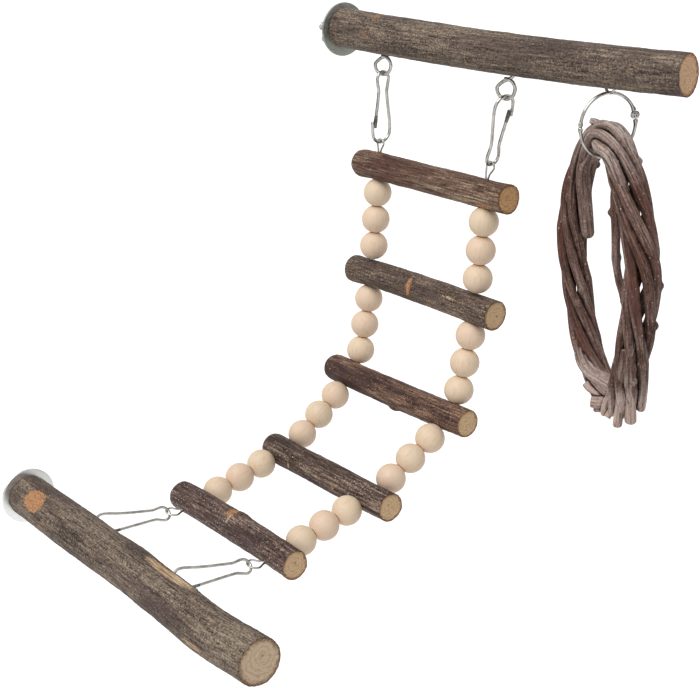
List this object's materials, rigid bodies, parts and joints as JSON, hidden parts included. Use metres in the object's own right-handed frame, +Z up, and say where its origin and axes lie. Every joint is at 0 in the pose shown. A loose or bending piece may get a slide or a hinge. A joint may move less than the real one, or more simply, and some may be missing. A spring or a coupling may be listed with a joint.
{
  "type": "bird ladder",
  "caption": "Bark-covered perches that bolt to a cage wall, with a curved ladder of bark rungs and wooden beads hooked between them and a twisted vine wreath hung from a hinged ring.",
  "frame": {"origin": "on the upper perch's bolt axis, at the washer's rear face, in the plane of the cage wall", "axes": "+X out from the wall along the perches, +Z up, and the ladder runs down towards -Y"},
  "size_m": [0.2705, 0.2446, 0.2669],
  "materials": {
    "perch_bark": "rough grey-brown bark with fine lengthwise streaks, cut ends of pale wood",
    "rung_bark": "dark red-brown bark with pale specks, cut ends of pale wood",
    "bead_wood": "smooth pale wood",
    "vine_bark": "matt purplish-brown vine bark",
    "zinc_washer": "dull zinc plate",
    "nickel_wire": "bright nickel plate",
    "steel_bolt": "plain steel"
  },
  "bodies": {
    "perches": {"upper_perch": "perch_bark", "lower_perch": "perch_bark", "upper_washer": "zinc_washer", "lower_washer": "zinc_washer", "upper_hanger_bolt": "steel_bolt", "lower_hanger_bolt": "steel_bolt", "upper_left_eye": "nickel_wire", "upper_right_eye": "nickel_wire", "ring_eye": "nickel_wire", "lower_left_eye": "nickel_wire", "lower_right_eye": "nickel_wire"},
    "upper_left_hook": {"upper_left_hook": "nickel_wire"},
    "upper_left_gate": {"upper_left_gate": "nickel_wire"},
    "upper_right_hook": {"upper_right_hook": "nickel_wire"},
    "upper_right_gate": {"upper_right_gate": "nickel_wire"},
    "lower_left_hook": {"lower_left_hook": "nickel_wire"},
    "lower_left_gate": {"lower_left_gate": "nickel_wire"},
    "lower_right_hook": {"lower_right_hook": "nickel_wire"},
    "lower_right_gate": {"lower_right_gate": "nickel_wire"},
    "ladder_rung_1": {"rung_1": "rung_bark", "left_upper_wire": "steel_bolt", "right_upper_wire": "steel_bolt"},
    "ladder_rung_2": {"rung_2": "rung_bark"},
    "ladder_rung_3": {"rung_3": "rung_bark"},
    "ladder_rungs_4_5": {"rung_4": "rung_bark", "rung_5": "rung_bark", "left_lower_wire": "steel_bolt", "right_lower_wire": "steel_bolt"},
    "ring_upper": {"binder_ring_upper": "nickel_wire"},
    "ring_lower": {"binder_ring_lower": "nickel_wire"},
    "wreath": {"vine_1": "vine_bark", "vine_2": "vine_bark", "vine_3": "vine_bark", "vine_inner": "vine_bark"},
    "upper_nut": {"upper_wing_nut": "steel_bolt"},
    "lower_nut": {"lower_wing_nut": "steel_bolt"},
    "bead_left_11": {"bead_left_11": "bead_wood"},
    "bead_left_12": {"bead_left_12": "bead_wood"},
    "bead_left_13": {"bead_left_13": "bead_wood"},
    "bead_left_21": {"bead_left_21": "bead_wood"},
    "bead_left_22": {"bead_left_22": "bead_wood"},
    "bead_left_23": {"bead_left_23": "bead_wood"},
    "bead_left_31": {"bead_left_31": "bead_wood"},
    "bead_left_32": {"bead_left_32": "bead_wood"},
    "bead_left_33": {"bead_left_33": "bead_wood"},
    "bead_left_41": {"bead_left_41": "bead_wood"},
    "bead_left_42": {"bead_left_42": "bead_wood"},
    "bead_left_43": {"bead_left_43": "bead_wood"},
    "bead_right_11": {"bead_right_11": "bead_wood"},
    "bead_right_12": {"bead_right_12": "bead_wood"},
    "bead_right_13": {"bead_right_13": "bead_wood"},
    "bead_right_21": {"bead_right_21": "bead_wood"},
    "bead_right_22": {"bead_right_22": "bead_wood"},
    "bead_right_23": {"bead_right_23": "bead_wood"},
    "bead_right_31": {"bead_right_31": "bead_wood"},
    "bead_right_32": {"bead_right_32": "bead_wood"},
    "bead_right_33": {"bead_right_33": "bead_wood"},
    "bead_right_41": {"bead_right_41": "bead_wood"},
    "bead_right_42": {"bead_right_42": "bead_wood"},
    "bead_right_43": {"bead_right_43": "bead_wood"}
  },
  "joints": [
    {"name": "ladder_sway", "type": "hinge", "parent": "perches", "child": "upper_left_hook", "pos_m": [0.036, 0.0006, -0.02163], "axis": [1, 0, 0], "range_deg": [-10, 10]},
    {"name": "ladder_hook_upper_right", "type": "hinge", "parent": "perches", "child": "upper_right_hook", "pos_m": [0.1355, 0.0006, -0.02285], "axis": [1, 0, 0], "range_deg": [-10.9, 10.9]},
    {"name": "ladder_rung_1_turn", "type": "hinge", "parent": "upper_left_hook", "child": "ladder_rung_1", "pos_m": [0.0345, 0.0006, -0.0547], "axis": [1, 0, 0], "range_deg": [-13.8, 13.8]},
    {"name": "ladder_rung_2_turn", "type": "hinge", "parent": "ladder_rung_1", "child": "ladder_rung_2", "pos_m": [0.078, -0.00466, -0.13453], "axis": [1, 0, 0], "range_deg": [-1.5, 1.5], "deforming": ["left_upper_wire", "right_upper_wire"]},
    {"name": "ladder_rung_3_turn", "type": "hinge", "parent": "ladder_rung_2", "child": "ladder_rung_3", "pos_m": [0.078, -0.02076, -0.19354], "axis": [1, 0, 0], "range_deg": [-4.3, 4.3]},
    {"name": "ladder_rung_4_turn", "type": "hinge", "parent": "ladder_rung_3", "child": "ladder_rungs_4_5", "pos_m": [0.078, -0.07186, -0.2276], "axis": [1, 0, 0], "range_deg": [-1.2, 1.2], "deforming": ["left_lower_wire", "right_lower_wire"]},
    {"name": "ladder_hook_lower_left", "type": "hinge", "parent": "ladder_rungs_4_5", "child": "lower_left_hook", "pos_m": [0.0383, -0.14656, -0.24496], "axis": [1, 0, 0], "range_deg": [-2.9, 2.9]},
    {"name": "ladder_hook_lower_right", "type": "hinge", "parent": "ladder_rungs_4_5", "child": "lower_right_hook", "pos_m": [0.1177, -0.14656, -0.24496], "axis": [1, 0, 0], "range_deg": [-2.9, 2.9]},
    {"name": "binder_ring_swing", "type": "hinge", "parent": "perches", "child": "ring_upper", "pos_m": [0.2065, 0, -0.013], "axis": [1, 0, 0], "range_deg": [-25, 25]},
    {"name": "binder_ring_open", "type": "hinge", "parent": "ring_upper", "child": "ring_lower", "pos_m": [0.20854, 0.01449, -0.02233], "axis": [0.9903, -0.1392, 0], "range_deg": [0, 60]},
    {"name": "ring_wreath_swing", "type": "hinge", "parent": "ring_upper", "child": "wreath", "pos_m": [0.2065, 0, -0.0414], "axis": [0.1392, 0.9903, 0], "range_deg": [-15, 15]},
    {"name": "hook_gate_upper_left", "type": "hinge", "parent": "upper_left_hook", "child": "upper_left_gate", "pos_m": [0.03588, -0.00332, -0.02435], "axis": [0.999, 0, -0.0453], "range_deg": [0, 12], "stiffness_Nm_per_rad": 0.02},
    {"name": "hook_gate_upper_right", "type": "hinge", "parent": "upper_right_hook", "child": "upper_right_gate", "pos_m": [0.12729, 0.00452, -0.05189], "axis": [0.9623, 0, -0.2719], "range_deg": [0, 12], "stiffness_Nm_per_rad": 0.02},
    {"name": "hook_gate_lower_left", "type": "hinge", "parent": "lower_left_hook", "child": "lower_left_gate", "pos_m": [0.04108, -0.14972, -0.24745], "axis": [-0.7057, -0.0638, -0.7057], "range_deg": [0, 12], "stiffness_Nm_per_rad": 0.02},
    {"name": "hook_gate_lower_right", "type": "hinge", "parent": "lower_right_hook", "child": "lower_right_gate", "pos_m": [0.12048, -0.14972, -0.24745], "axis": [-0.7057, -0.0638, -0.7057], "range_deg": [0, 12], "stiffness_Nm_per_rad": 0.02},
    {"name": "nut_turn_upper", "type": "hinge", "parent": "perches", "child": "upper_nut", "pos_m": [-0.003, 0, 0], "axis": [1, 0, 0], "continuous": true},
    {"name": "nut_turn_lower", "type": "hinge", "parent": "perches", "child": "lower_nut", "pos_m": [-0.003, -0.2113, -0.2311], "axis": [1, 0, 0], "continuous": true},
    {"name": "spin_bead_left_11", "type": "hinge", "parent": "ladder_rung_1", "child": "bead_left_11", "pos_m": [0.0331, -0.00042, -0.08862], "axis": [-0.0128, 0.0932, 0.9956], "continuous": true},
    {"name": "spin_bead_left_12", "type": "hinge", "parent": "ladder_rung_1", "child": "bead_left_12", "pos_m": [0.0333, -0.00184, -0.10383], "axis": [-0.0128, 0.0932, 0.9956], "continuous": true},
    {"name": "spin_bead_left_13", "type": "hinge", "parent": "ladder_rung_1", "child": "bead_left_13", "pos_m": [0.0335, -0.00327, -0.11904], "axis": [-0.0128, 0.0932, 0.9956], "continuous": true},
    {"name": "spin_bead_left_21", "type": "hinge", "parent": "ladder_rung_2", "child": "bead_left_21", "pos_m": [0.03384, -0.00704, -0.1499], "axis": [-0.0294, 0.2138, 0.9764], "continuous": true},
    {"name": "spin_bead_left_22", "type": "hinge", "parent": "ladder_rung_2", "child": "bead_left_22", "pos_m": [0.03429, -0.01031, -0.16482], "axis": [-0.0294, 0.2138, 0.9764], "continuous": true},
    {"name": "spin_bead_left_23", "type": "hinge", "parent": "ladder_rung_2", "child": "bead_left_23", "pos_m": [0.03474, -0.01358, -0.17975], "axis": [-0.0294, 0.2138, 0.9764], "continuous": true},
    {"name": "spin_bead_left_31", "type": "hinge", "parent": "ladder_rung_3", "child": "bead_left_31", "pos_m": [0.03554, -0.03278, -0.20341], "axis": [-0.0656, 0.8174, 0.5723], "continuous": true},
    {"name": "spin_bead_left_32", "type": "hinge", "parent": "ladder_rung_3", "child": "bead_left_32", "pos_m": [0.03654, -0.04529, -0.21218], "axis": [-0.0656, 0.8174, 0.5723], "continuous": true},
    {"name": "spin_bead_left_33", "type": "hinge", "parent": "ladder_rung_3", "child": "bead_left_33", "pos_m": [0.03755, -0.05781, -0.22094], "axis": [-0.0656, 0.8174, 0.5723], "continuous": true},
    {"name": "spin_bead_left_41", "type": "hinge", "parent": "ladder_rungs_4_5", "child": "bead_left_41", "pos_m": [0.03814, -0.08683, -0.23181], "axis": [-0.0043, 0.9571, 0.2899], "continuous": true},
    {"name": "spin_bead_left_42", "type": "hinge", "parent": "ladder_rungs_4_5", "child": "bead_left_42", "pos_m": [0.0382, -0.10146, -0.23624], "axis": [-0.0043, 0.9571, 0.2899], "continuous": true},
    {"name": "spin_bead_left_43", "type": "hinge", "parent": "ladder_rungs_4_5", "child": "bead_left_43", "pos_m": [0.03827, -0.11608, -0.24066], "axis": [-0.0043, 0.9571, 0.2899], "continuous": true},
    {"name": "spin_bead_right_11", "type": "hinge", "parent": "ladder_rung_1", "child": "bead_right_11", "pos_m": [0.1229, -0.00042, -0.08862], "axis": [0.0128, 0.0932, 0.9956], "continuous": true},
    {"name": "spin_bead_right_12", "type": "hinge", "parent": "ladder_rung_1", "child": "bead_right_12", "pos_m": [0.1227, -0.00184, -0.10383], "axis": [0.0128, 0.0932, 0.9956], "continuous": true},
    {"name": "spin_bead_right_13", "type": "hinge", "parent": "ladder_rung_1", "child": "bead_right_13", "pos_m": [0.1225, -0.00327, -0.11904], "axis": [0.0128, 0.0932, 0.9956], "continuous": true},
    {"name": "spin_bead_right_21", "type": "hinge", "parent": "ladder_rung_2", "child": "bead_right_21", "pos_m": [0.12216, -0.00704, -0.1499], "axis": [0.0294, 0.2138, 0.9764], "continuous": true},
    {"name": "spin_bead_right_22", "type": "hinge", "parent": "ladder_rung_2", "child": "bead_right_22", "pos_m": [0.12171, -0.01031, -0.16482], "axis": [0.0294, 0.2138, 0.9764], "continuous": true},
    {"name": "spin_bead_right_23", "type": "hinge", "parent": "ladder_rung_2", "child": "bead_right_23", "pos_m": [0.12126, -0.01358, -0.17975], "axis": [0.0294, 0.2138, 0.9764], "continuous": true},
    {"name": "spin_bead_right_31", "type": "hinge", "parent": "ladder_rung_3", "child": "bead_right_31", "pos_m": [0.12046, -0.03278, -0.20341], "axis": [0.0656, 0.8174, 0.5723], "continuous": true},
    {"name": "spin_bead_right_32", "type": "hinge", "parent": "ladder_rung_3", "child": "bead_right_32", "pos_m": [0.11946, -0.04529, -0.21218], "axis": [0.0656, 0.8174, 0.5723], "continuous": true},
    {"name": "spin_bead_right_33", "type": "hinge", "parent": "ladder_rung_3", "child": "bead_right_33", "pos_m": [0.11845, -0.05781, -0.22094], "axis": [0.0656, 0.8174, 0.5723], "continuous": true},
    {"name": "spin_bead_right_41", "type": "hinge", "parent": "ladder_rungs_4_5", "child": "bead_right_41", "pos_m": [0.11786, -0.08683, -0.23181], "axis": [0.0043, 0.9571, 0.2899], "continuous": true},
    {"name": "spin_bead_right_42", "type": "hinge", "parent": "ladder_rungs_4_5", "child": "bead_right_42", "pos_m": [0.1178, -0.10146, -0.23624], "axis": [0.0043, 0.9571, 0.2899], "continuous": true},
    {"name": "spin_bead_right_43", "type": "hinge", "parent": "ladder_rungs_4_5", "child": "bead_right_43", "pos_m": [0.11774, -0.11608, -0.24066], "axis": [0.0043, 0.9571, 0.2899], "continuous": true}
  ],
  "couplings": [
    {"joint": "ladder_hook_upper_right", "follows": "ladder_sway", "ratio": 1.0381},
    {"joint": "ladder_rung_1_turn", "follows": "ladder_sway", "ratio": -1.3276},
    {"joint": "ladder_rung_2_turn", "follows": "ladder_sway", "ratio": 0.0954},
    {"joint": "ladder_rung_3_turn", "follows": "ladder_sway", "ratio": 0.3766},
    {"joint": "ladder_rung_4_turn", "follows": "ladder_sway", "ratio": -0.0742},
    {"joint": "ladder_hook_lower_left", "follows": "ladder_sway", "ratio": -0.2401},
    {"joint": "ladder_hook_lower_right", "follows": "ladder_sway", "ratio": -0.2401}
  ]
}
